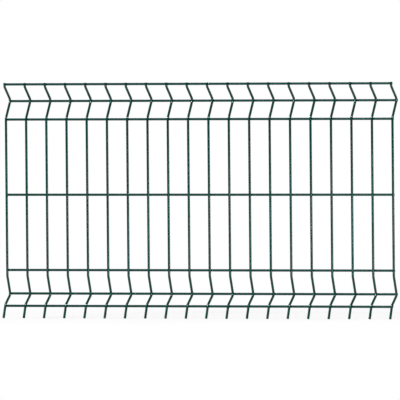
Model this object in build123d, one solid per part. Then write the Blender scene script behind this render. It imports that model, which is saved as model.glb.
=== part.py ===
from build123d import *
import math
import os

# Welded mesh fence panel with a stiffening fold along its top and its bottom, in millimetres.
# X runs along the panel, Z is up, and the folds stand out towards +Y.
# The origin is on the left end upright's outer side, at the middle wire's height.

# Wire, with its green coat
WIRE_DIAMETER = 6.0
WIRE_SIDES = 12
SET_DOWN = 0.8  # how far a weld presses two crossing wires into each other
BEND_RADIUS = 10.0  # at the wire's axis
BEND_STEP = 30.0  # the largest turn, in degrees, that one chord of a bend takes

# Mesh
UPRIGHT_COUNT = 20
UPRIGHT_PITCH = 60.0
MESH_HEIGHT = 200.0

# Upper fold, bend by bend from the plane of the mesh to the top
UPPER_BEND_RISE = 3.0  # above the upper fold wire
UPPER_LEG_RISE = 48.0
UPPER_APEX_DEPTH = 27.5
UPPER_RETURN_RISE = 36.0
TOP_SETBACK = 6.5
TOP_STUB = 10.5

# Lower fold, bend by bend from the plane of the mesh to the spikes' ends
LOWER_BEND_DROP = 15.5  # below the lower fold wire
LOWER_LEG_DROP = 49.5
LOWER_APEX_DEPTH = 16.5
LOWER_RETURN_DROP = 26.0
LOWER_SETBACK = 12.5
SPIKE_DROP = 36.0
SPIKE_SETBACK = 24.5

# Straight wires
STRAIGHT_END_SETBACK = 3.0  # from the end uprights' outer sides to the cut ends
TOP_WIRE_DROP = 4.0  # below the uprights' top ends
UPPER_APEX_WIRE_DROP = 2.5
LOWER_APEX_WIRE_RISE = 2.3
BOTTOM_WIRE_DROP = 4.0  # below the last bend

radius = WIRE_DIAMETER / 2
weld_reach = WIRE_DIAMETER - SET_DOWN
panel_length = (UPRIGHT_COUNT - 1) * UPRIGHT_PITCH + WIRE_DIAMETER
straight_length = panel_length - 2 * STRAIGHT_END_SETBACK

upper_bend = MESH_HEIGHT + UPPER_BEND_RISE
upper_apex = upper_bend + UPPER_LEG_RISE
upper_return = upper_apex + UPPER_RETURN_RISE
top_end = upper_return + TOP_STUB
lower_bend = -MESH_HEIGHT - LOWER_BEND_DROP
lower_apex = lower_bend - LOWER_LEG_DROP
lower_return = lower_apex - LOWER_RETURN_DROP
spike_end = lower_return - SPIKE_DROP

STRAIGHT_WIRE_HEIGHTS = {
    "top_wire": top_end - TOP_WIRE_DROP,
    "upper_apex_wire": upper_apex - UPPER_APEX_WIRE_DROP,
    "upper_fold_wire": MESH_HEIGHT,
    "middle_wire": 0.0,
    "lower_fold_wire": -MESH_HEIGHT,
    "lower_apex_wire": lower_apex + LOWER_APEX_WIRE_RISE,
    "bottom_wire": lower_return - BOTTOM_WIRE_DROP,
}


def wire_section(plane):
    """The wire's round section, as a polygon with its flats on the wire's diameter."""
    flat_to_front = 180 / WIRE_SIDES
    return plane * RegularPolygon(radius, WIRE_SIDES, major_radius=False, rotation=flat_to_front)


def upright_corners():
    """The upright's bends from its top end to its spike, as sharp corners on its axis."""
    depths_and_heights = [
        (-TOP_SETBACK, top_end),
        (-TOP_SETBACK, upper_return),
        (UPPER_APEX_DEPTH, upper_apex),
        (0, upper_bend),
        (0, lower_bend),
        (LOWER_APEX_DEPTH, lower_apex),
        (-LOWER_SETBACK, lower_return),
        (-SPIKE_SETBACK, spike_end),
    ]
    return [Vector(0, depth, height) for depth, height in depths_and_heights]


def upright_points():
    """The same line with each bend rounded by a few chords of its arc."""
    line = FilletPolyline(*upright_corners(), radius=BEND_RADIUS)
    points = [line @ 0]
    for edge in line.order_edges():
        turn = 0 if edge.geom_type == GeomType.LINE else math.degrees(edge.length / BEND_RADIUS)
        chords = max(1, math.ceil(turn / BEND_STEP))
        points += [edge @ (chord / chords) for chord in range(1, chords + 1)]
    return points


def upright_wire(points):
    """One bent wire, swept down its line with its cut ends square to it."""
    line = Polyline(*points)
    start = Plane(origin=line @ 0, x_dir=Vector(1, 0, 0), z_dir=line % 0)
    return sweep(wire_section(start), path=line, transition=Transition.RIGHT)


def depth_on_chord(start, end, height):
    """How far back a straight wire at this height rests on one chord of an upright."""
    along = (end - start).normalized()
    back = Vector(0, -along.Z, along.Y)
    share = (height - weld_reach * back.Z - start.Z) / (end.Z - start.Z)
    touch = start + (end - start) * min(max(share, 0), 1)
    drop = height - touch.Z
    if abs(drop) > weld_reach:
        return -math.inf
    return touch.Y + math.sqrt(weld_reach**2 - drop**2)


def straight_wire(height, points, uprights):
    """One straight wire behind the uprights, with a seat for each where its weld presses in."""
    depth = max(depth_on_chord(start, end, height) for start, end in zip(points, points[1:]))
    left_end = Plane((STRAIGHT_END_SETBACK, depth, height), x_dir=(0, 1, 0), z_dir=(1, 0, 0))
    return extrude(wire_section(left_end), straight_length) - uprights


def export(name, solid):
    solid.label = name
    export_step(solid, f"parts/{name}.step")


os.makedirs("parts", exist_ok=True)
points = upright_points()
first_upright = upright_wire(points)
uprights = [Pos(radius + UPRIGHT_PITCH * place, 0, 0) * first_upright for place in range(UPRIGHT_COUNT)]
for place, upright in enumerate(uprights, start=1):
    export(f"upright_wire_{place:02}", upright)
for name, height in STRAIGHT_WIRE_HEIGHTS.items():
    export(name, straight_wire(height, points, uprights))
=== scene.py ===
import math
import random

import bmesh
import bpy
from mathutils import Matrix, Vector, geometry


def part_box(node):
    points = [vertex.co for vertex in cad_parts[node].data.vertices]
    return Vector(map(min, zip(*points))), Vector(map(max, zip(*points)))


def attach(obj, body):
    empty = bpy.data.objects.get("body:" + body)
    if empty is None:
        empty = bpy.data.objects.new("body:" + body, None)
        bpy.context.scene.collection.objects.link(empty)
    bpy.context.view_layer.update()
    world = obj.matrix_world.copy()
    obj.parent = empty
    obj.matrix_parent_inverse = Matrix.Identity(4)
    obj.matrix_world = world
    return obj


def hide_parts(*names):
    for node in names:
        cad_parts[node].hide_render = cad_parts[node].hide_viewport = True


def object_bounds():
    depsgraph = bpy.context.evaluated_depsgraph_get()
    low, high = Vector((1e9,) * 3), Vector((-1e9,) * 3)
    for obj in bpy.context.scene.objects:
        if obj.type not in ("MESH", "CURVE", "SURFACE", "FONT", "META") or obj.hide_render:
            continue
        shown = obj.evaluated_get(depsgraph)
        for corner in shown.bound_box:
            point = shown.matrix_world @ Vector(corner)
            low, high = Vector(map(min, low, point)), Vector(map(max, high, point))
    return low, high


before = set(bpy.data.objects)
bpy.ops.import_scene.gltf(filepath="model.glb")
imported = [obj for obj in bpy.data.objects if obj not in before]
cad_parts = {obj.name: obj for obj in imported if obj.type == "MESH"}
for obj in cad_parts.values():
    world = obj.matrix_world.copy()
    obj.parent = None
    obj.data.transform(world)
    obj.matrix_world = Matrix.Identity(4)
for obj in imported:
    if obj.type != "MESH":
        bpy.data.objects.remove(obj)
cad_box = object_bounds()

# Upright wires
# Round steel wire, straightened, cut and welded to the mesh, then folded with it in a press.
# A polymer coat covers each wire and its cut ends.
WIRE_RADIUS = 0.0033
WIRE_SIDES = 32
BEND_RADIUS = 0.010  # at the wire's axis
BEND_STEP = math.radians(6)
FEWEST_BEND_STEPS = 2
RING_INSET = 0.0012
END_ROUNDING = 0.0008
END_ROUNDING_STEPS = 3
UPRIGHTS = [name for name in sorted(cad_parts) if name.startswith("upright_wire")]
STRAIGHTS = [name for name in sorted(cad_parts) if not name.startswith("upright_wire")]

# Corners from the top end to the spike's end: depth behind the straight run, and height
UPRIGHT_CORNERS = [
    (-0.0065, 0.2975),
    (-0.0065, 0.2870),
    (0.0275, 0.2510),
    (0.0, 0.2030),
    (0.0, -0.2155),
    (0.0165, -0.2650),
    (-0.0125, -0.2910),
    (-0.0245, -0.3270),
]

COAT_GREEN = (0.0004, 0.0270, 0.0210, 1)
COAT_GREEN_PALE = (0.0010, 0.0370, 0.0290, 1)
COAT_SHINE = 0.90
COAT_SHINE_TINT = (0.55, 1.00, 0.93, 1)
ROUGHNESS_LOW = 0.13
ROUGHNESS_HIGH = 0.18
TONE_DRIFT = {"Scale": 14.0, "Detail": 3.0, "Roughness": 0.55}
GLOSS_DRIFT = {"Scale": 90.0, "Detail": 4.0, "Roughness": 0.60}
PEEL = {"Scale": 620.0, "Detail": 2.0, "Roughness": 0.45}
PEEL_DEPTH = 0.00010
PEEL_STRENGTH = 0.18


def node(tree, kind, **settings):
    """One shader node with its settings and its sockets' values given by name."""
    made = tree.nodes.new(kind)
    for name, value in settings.items():
        socket = name.replace("_", " ")
        if socket in made.inputs:
            made.inputs[socket].default_value = value
        else:
            setattr(made, name, value)
    return made


def green_coat():
    """Dark green polymer coat: glossy, with a slight orange peel and a slow drift of tone."""
    material = bpy.data.materials.new("green_coat_finish")
    material.use_nodes = True
    tree = material.node_tree
    shader = tree.nodes["Principled BSDF"]
    shader.inputs["Specular IOR Level"].default_value = COAT_SHINE
    shader.inputs["Specular Tint"].default_value = COAT_SHINE_TINT
    place = node(tree, "ShaderNodeTexCoord")

    drift = node(tree, "ShaderNodeTexNoise", **TONE_DRIFT)
    tone = node(tree, "ShaderNodeMix", data_type="RGBA")
    tone.inputs["A"].default_value = COAT_GREEN
    tone.inputs["B"].default_value = COAT_GREEN_PALE
    tree.links.new(place.outputs["Object"], drift.inputs["Vector"])
    tree.links.new(drift.outputs["Fac"], tone.inputs["Factor"])
    tree.links.new(tone.outputs["Result"], shader.inputs["Base Color"])

    haze = node(tree, "ShaderNodeTexNoise", **GLOSS_DRIFT)
    rough = node(tree, "ShaderNodeMapRange", To_Min=ROUGHNESS_LOW, To_Max=ROUGHNESS_HIGH)
    tree.links.new(place.outputs["Object"], haze.inputs["Vector"])
    tree.links.new(haze.outputs["Fac"], rough.inputs["Value"])
    tree.links.new(rough.outputs["Result"], shader.inputs["Roughness"])

    peel = node(tree, "ShaderNodeTexNoise", **PEEL)
    bump = node(tree, "ShaderNodeBump", Strength=PEEL_STRENGTH, Distance=PEEL_DEPTH)
    tree.links.new(place.outputs["Object"], peel.inputs["Vector"])
    tree.links.new(peel.outputs["Fac"], bump.inputs["Height"])
    tree.links.new(bump.outputs["Normal"], shader.inputs["Normal"])
    return material


def wire_bends(corners):
    """For each bend: where its arc starts, its centre, the axis that it turns about, and its turn."""
    bends = []
    for before, corner, after in zip(corners, corners[1:], corners[2:]):
        along = (corner - before).normalized()
        onward = (after - corner).normalized()
        turn = along.angle(onward)
        start = corner - along * BEND_RADIUS * math.tan(turn / 2)
        axis = along.cross(onward).normalized()
        bends.append((start, start + axis.cross(along) * BEND_RADIUS, axis, turn))
    return bends


def bend_steps(turn):
    """How many short steps make up a bend."""
    return max(FEWEST_BEND_STEPS, math.ceil(turn / BEND_STEP))


def wire_line(corners):
    """The wire's axis, with a few points round each bend."""
    line = [corners[0]]
    for start, centre, axis, turn in wire_bends(corners):
        steps = bend_steps(turn)
        line += [
            centre + Matrix.Rotation(turn * count / steps, 3, axis) @ (start - centre)
            for count in range(steps + 1)
        ]
    return line + [corners[-1]]


def nearest_on_line(line, point):
    """The point of a wire's axis that is nearest to a point, and the axis' direction there."""
    nearest_gap = math.inf
    for start, end in zip(line, line[1:]):
        _, share = geometry.intersect_point_line(point, start, end)
        touch = start.lerp(end, min(max(share, 0), 1))
        gap = (point - touch).length
        if gap < nearest_gap:
            nearest_gap = gap
            nearest = touch
            along = (end - start).normalized()
    return nearest, along


def edges_in(items):
    """The edges among the points, edges and faces that an operator gives back."""
    return [item for item in items if isinstance(item, bmesh.types.BMEdge)]


def drawn_out(bm, ring):
    """Draws a ring of edges out into a wall. Gives the new ring's points and edges, not yet moved."""
    made = bmesh.ops.extrude_edge_only(bm, edges=ring)["geom"]
    verts = [item for item in made if isinstance(item, bmesh.types.BMVert)]
    new_ring = [edge for edge in edges_in(made) if edge.verts[0] in verts and edge.verts[1] in verts]
    return verts, new_ring


def feed(bm, ring, move):
    """Feeds the wire straight on. A ring close to each end keeps the run's shading straight."""
    inset = move.normalized() * RING_INSET
    for step in (inset, move - inset * 2, inset):
        verts, ring = drawn_out(bm, ring)
        bmesh.ops.translate(bm, verts=verts, vec=step)
    return ring


def close_ends(bm):
    """Caps both cut ends, turns all faces outwards and rounds the coat over the rims."""
    open_edges = [edge for edge in bm.edges if edge.is_boundary]
    caps = bmesh.ops.holes_fill(bm, edges=open_edges)["faces"]
    bmesh.ops.recalc_face_normals(bm, faces=bm.faces)
    rims = [edge for cap in caps for edge in cap.edges]
    bmesh.ops.bevel(
        bm, geom=rims, offset=END_ROUNDING, segments=END_ROUNDING_STEPS,
        profile=0.5, affect="EDGES", material=-1,
    )


def drawn_wire(corners):
    """A round wire fed along its corners and turned about the press tool at each bend."""
    bm = bmesh.new()
    facing = (corners[1] - corners[0]).to_track_quat("Z", "Y").to_matrix().to_4x4()
    bmesh.ops.create_circle(
        bm, segments=WIRE_SIDES, radius=WIRE_RADIUS, matrix=Matrix.Translation(corners[0]) @ facing
    )
    ring = list(bm.edges)
    here = corners[0]
    for start, centre, axis, turn in wire_bends(corners):
        ring = feed(bm, ring, start - here)
        bend = bmesh.ops.spin(bm, geom=ring, cent=centre, axis=axis, angle=turn, steps=bend_steps(turn))
        ring = edges_in(bend["geom_last"])
        here = centre + Matrix.Rotation(turn, 3, axis) @ (start - centre)
    feed(bm, ring, corners[-1] - here)
    close_ends(bm)
    return bm


def finish_piece(bm, name, material, replaced=()):
    """Makes the piece's object, smooth, with its finish, riding on the panel."""
    mesh = bpy.data.meshes.new(name)
    bm.to_mesh(mesh)
    bm.free()
    mesh.shade_smooth()
    mesh.materials.append(material)
    piece = bpy.data.objects.new(name, mesh)
    bpy.context.scene.collection.objects.link(piece)
    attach(piece, "root")
    if replaced:
        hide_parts(*replaced)


def node_middle(name):
    """The middle of a CAD node's box."""
    low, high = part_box(name)
    return (low + high) / 2


coat = green_coat()
first_x = node_middle(UPRIGHTS[0]).x
corners = [Vector((first_x, depth, height)) for depth, height in UPRIGHT_CORNERS]
for name in UPRIGHTS:
    bm = drawn_wire(corners)
    bmesh.ops.translate(bm, verts=bm.verts, vec=(node_middle(name).x - first_x, 0, 0))
    finish_piece(bm, name.replace("upright_wire", "bent_wire"), coat, [name])

# Straight wires
# The same round wire, welded across the back of the uprights and cut off short at the two end
# uprights, under the weld, so that no end stands out past the panel's edges.
for name in STRAIGHTS:
    middle = node_middle(name)
    ends = [Vector((corner.x, middle.y, middle.z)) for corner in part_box(name)]
    finish_piece(drawn_wire(ends), f"round_{name}", coat, [name])

# Welds
# Each crossing is pressed and fused by the welding machine, which squeezes a bead of metal out
# into the four corners between the two wires. The coat runs over it.
WELD_SIDES = 12
WELD_SPREAD = 0.0031
WELD_LOBE = 0.28  # how much further the bead reaches in the four corners
WELD_UNEVENNESS = 0.12
WELD_SEED = 7

# Rings of the bead from the upright to the straight wire: height, and share of the spread
WELD_LEVELS = [(-0.0017, 0.82), (-0.0008, 0.95), (0.0, 1.0), (0.0008, 0.95), (0.0017, 0.82)]


def weld_bead(bm, centre, along, outward, chance):
    """One low bead between two crossing wires, with a lobe in each of their four corners."""
    spread = WELD_SPREAD * (1 + WELD_UNEVENNESS * (chance.random() - 0.5))
    verts = bmesh.ops.create_circle(bm, segments=WELD_SIDES, radius=1)["verts"]
    for vert in verts:
        in_corner = abs(2 * vert.co.x * vert.co.y)  # 1 between the wires, 0 along them
        vert.co *= spread * (1 + WELD_LOBE * in_corner)
    ring = [edge for edge in bm.edges if edge.verts[0] in verts]
    bottom, first_share = WELD_LEVELS[0]
    bmesh.ops.translate(bm, verts=verts, vec=(0, 0, bottom))
    bmesh.ops.scale(bm, verts=verts, vec=(first_share, first_share, 1))
    bead = list(verts)
    bmesh.ops.edgenet_fill(bm, edges=ring)
    for (height, share), (next_height, next_share) in zip(WELD_LEVELS, WELD_LEVELS[1:]):
        verts, ring = drawn_out(bm, ring)
        bmesh.ops.translate(bm, verts=verts, vec=(0, 0, next_height - height))
        bmesh.ops.scale(bm, verts=verts, vec=(next_share / share, next_share / share, 1))
        bead += verts
    bmesh.ops.edgenet_fill(bm, edges=ring)
    turn = Matrix((along.cross(outward), along, outward)).transposed().to_4x4()
    bmesh.ops.transform(bm, verts=bead, matrix=Matrix.Translation(centre) @ turn)


chance = random.Random(WELD_SEED)
upright_line = wire_line(corners)
for name in STRAIGHTS:
    middle = node_middle(name)
    on_straight = Vector((first_x, middle.y, middle.z))
    on_upright, along = nearest_on_line(upright_line, on_straight)
    outward = (on_straight - on_upright).normalized()
    bm = bmesh.new()
    for upright in UPRIGHTS:
        shift = Vector((node_middle(upright).x - first_x, 0, 0))
        weld_bead(bm, (on_straight + on_upright) / 2 + shift, along, outward, chance)
    bmesh.ops.recalc_face_normals(bm, faces=bm.faces)
    finish_piece(bm, f"welds_{name}", coat)

# Floor
# A pale studio floor at the spikes' ends. It shows white in the picture and keeps the panel's
# shadow, which fades out before the floor's edges.
FLOOR_HALF = 3.0
FLOOR_GAP = 0.0002  # from the spikes' ends
FLOOR_GREY = 0.50
ROOM_LIGHT = 0.08
LAMP_LIGHT_ON_FLOOR = 1.19  # from all the lamps, under the panel
SHADOW_SHARE = 0.45
SHADOW_NEAR = 0.7
SHADOW_FAR = 1.6

# The mirrored backdrop fades in between these, in metres behind the panel on the floor, and as
# a share of straight back in the world
BACKDROP_FROM = 0.10
BACKDROP_TO = 0.90
WHITE = (1, 1, 1, 1)


def backdrop_rays(tree, depth):
    """1 for the rays that show the white backdrop: all that the camera sends out, and of those
    that come by way of gloss or glass, the ones that end well behind the panel."""
    path = node(tree, "ShaderNodeLightPath")
    mirrored = node(tree, "ShaderNodeMath", operation="MAXIMUM")
    behind = node(
        tree, "ShaderNodeMapRange", interpolation_type="SMOOTHSTEP",
        From_Min=BACKDROP_FROM, From_Max=BACKDROP_TO,
    )
    mirrored_behind = node(tree, "ShaderNodeMath", operation="MULTIPLY")
    shown = node(tree, "ShaderNodeMath", operation="MAXIMUM")
    tree.links.new(path.outputs["Is Glossy Ray"], mirrored.inputs[0])
    tree.links.new(path.outputs["Is Transmission Ray"], mirrored.inputs[1])
    tree.links.new(depth, behind.inputs["Value"])
    tree.links.new(mirrored.outputs["Value"], mirrored_behind.inputs[0])
    tree.links.new(behind.outputs["Result"], mirrored_behind.inputs[1])
    tree.links.new(path.outputs["Is Camera Ray"], shown.inputs[0])
    tree.links.new(mirrored_behind.outputs["Value"], shown.inputs[1])
    return shown.outputs["Value"]


def floor_material(centre):
    """Pale matt floor that shows white, less the light that the panel keeps from it."""
    material = bpy.data.materials.new("studio_floor")
    material.use_nodes = True
    tree = material.node_tree
    tree.nodes.clear()
    place = node(tree, "ShaderNodeTexCoord")
    across = node(tree, "ShaderNodeSeparateXYZ")
    away = node(tree, "ShaderNodeVectorMath", operation="DISTANCE")
    away.inputs[1].default_value = centre
    lit_grey = node(
        tree, "ShaderNodeMapRange", interpolation_type="SMOOTHSTEP",
        From_Min=SHADOW_NEAR, From_Max=SHADOW_FAR, To_Min=SHADOW_SHARE * FLOOR_GREY, To_Max=0.0,
    )
    rest_of_white = node(tree, "ShaderNodeMath", operation="MULTIPLY_ADD")
    rest_of_white.inputs[1].default_value = -(ROOM_LIGHT + LAMP_LIGHT_ON_FLOOR)
    rest_of_white.inputs[2].default_value = 1.0
    lit = node(tree, "ShaderNodeBsdfDiffuse")
    glow = node(tree, "ShaderNodeEmission", Color=WHITE)
    white = node(tree, "ShaderNodeAddShader")
    matt = node(tree, "ShaderNodeBsdfDiffuse", Color=(FLOOR_GREY, FLOOR_GREY, FLOOR_GREY, 1))
    mix = node(tree, "ShaderNodeMixShader")
    out = node(tree, "ShaderNodeOutputMaterial")
    tree.links.new(place.outputs["Object"], away.inputs[0])
    tree.links.new(place.outputs["Object"], across.inputs["Vector"])
    tree.links.new(away.outputs["Value"], lit_grey.inputs["Value"])
    tree.links.new(lit_grey.outputs["Result"], rest_of_white.inputs[0])
    tree.links.new(lit_grey.outputs["Result"], lit.inputs["Color"])
    tree.links.new(rest_of_white.outputs["Value"], glow.inputs["Strength"])
    tree.links.new(lit.outputs["BSDF"], white.inputs[0])
    tree.links.new(glow.outputs["Emission"], white.inputs[1])
    tree.links.new(backdrop_rays(tree, across.outputs["Y"]), mix.inputs["Fac"])
    tree.links.new(matt.outputs["BSDF"], mix.inputs[1])
    tree.links.new(white.outputs["Shader"], mix.inputs[2])
    tree.links.new(mix.outputs["Shader"], out.inputs["Surface"])
    return material


panel_middle = Vector((cad_box[1].x / 2, 0, 0))
floor_middle = Vector((panel_middle.x, 0, cad_box[0].z - FLOOR_GAP))
bm = bmesh.new()
bmesh.ops.create_grid(
    bm, x_segments=1, y_segments=1, size=FLOOR_HALF, matrix=Matrix.Translation(floor_middle)
)
floor_mesh = bpy.data.meshes.new("studio_floor")
bm.to_mesh(floor_mesh)
bm.free()
floor_mesh.materials.append(floor_material(floor_middle))
floor = bpy.data.objects.new("studio_floor", floor_mesh)
bpy.context.scene.collection.objects.link(floor)

# Light
# A dim room and three softboxes. The high one, in front and to the left, makes the bends glint.
# The low one, to the right, puts a long soft sheen on the uprights. The rear one lights the back.
LAMPS = {
    "high_lamp": {"place": (-1.10, -5.70, 5.20), "width": 1.00, "height": 1.00, "power": 750.0},
    "low_lamp": {"place": (2.60, -1.15, -0.12), "width": 0.25, "height": 0.40, "power": 5.0},
    "rear_lamp": {"place": (4.20, 4.00, 5.00), "width": 1.00, "height": 1.00, "power": 270.0},
}

world = bpy.data.worlds.new("studio_room")
bpy.context.scene.world = world
world.use_nodes = True
tree = world.node_tree
tree.nodes.clear()
place = node(tree, "ShaderNodeTexCoord")
across = node(tree, "ShaderNodeSeparateXYZ")
room = node(tree, "ShaderNodeBackground", Color=WHITE, Strength=ROOM_LIGHT)
backdrop = node(tree, "ShaderNodeBackground", Color=WHITE, Strength=1.0)
mix = node(tree, "ShaderNodeMixShader")
out = node(tree, "ShaderNodeOutputWorld")
tree.links.new(place.outputs["Object"], across.inputs["Vector"])
tree.links.new(backdrop_rays(tree, across.outputs["Y"]), mix.inputs["Fac"])
tree.links.new(room.outputs["Background"], mix.inputs[1])
tree.links.new(backdrop.outputs["Background"], mix.inputs[2])
tree.links.new(mix.outputs["Shader"], out.inputs["Surface"])

for name, settings in LAMPS.items():
    light = bpy.data.lights.new(name, "AREA")
    light.shape = "RECTANGLE"
    light.size = settings["width"]
    light.size_y = settings["height"]
    light.energy = settings["power"]
    lamp = bpy.data.objects.new(name, light)
    lamp.location = settings["place"]
    lamp.rotation_euler = (panel_middle - lamp.location).to_track_quat("-Z", "Y").to_euler()
    lamp.visible_camera = False
    bpy.context.scene.collection.objects.link(lamp)

# Camera
# The picture is a parallel view from the right and a little above, so the lens is very long.
# The camera is turned about its own axis until the straight wires lie level in the picture.
CAMERA_AZIMUTH = math.radians(26.26)
CAMERA_ELEVATION = math.radians(1.06)
CAMERA_LENS = 1700.0
CAMERA_SENSOR = 36.0
CAMERA_REACH = 400.0
PICTURE_WIDTH = 1.0582  # in metres at the panel
AIM_RIGHT = 0.0029
AIM_DOWN = 0.01386

back = Vector((
    math.sin(CAMERA_AZIMUTH) * math.cos(CAMERA_ELEVATION),
    -math.cos(CAMERA_AZIMUTH) * math.cos(CAMERA_ELEVATION),
    math.sin(CAMERA_ELEVATION),
))
right = (Vector((1, 0, 0)) - back * back.x).normalized()
up = back.cross(right)
aim = panel_middle + right * AIM_RIGHT - up * AIM_DOWN
stand = aim + back * PICTURE_WIDTH * CAMERA_LENS / CAMERA_SENSOR
camera_data = bpy.data.cameras.new("photo_camera")
camera_data.lens = CAMERA_LENS
camera_data.sensor_width = CAMERA_SENSOR
camera_data.clip_end = CAMERA_REACH
camera = bpy.data.objects.new("photo_camera", camera_data)
camera.matrix_world = Matrix.Translation(stand) @ Matrix((right, up, back)).transposed().to_4x4()
bpy.context.scene.collection.objects.link(camera)
bpy.context.scene.camera = camera
bpy.context.scene.view_settings.view_transform = "Standard"
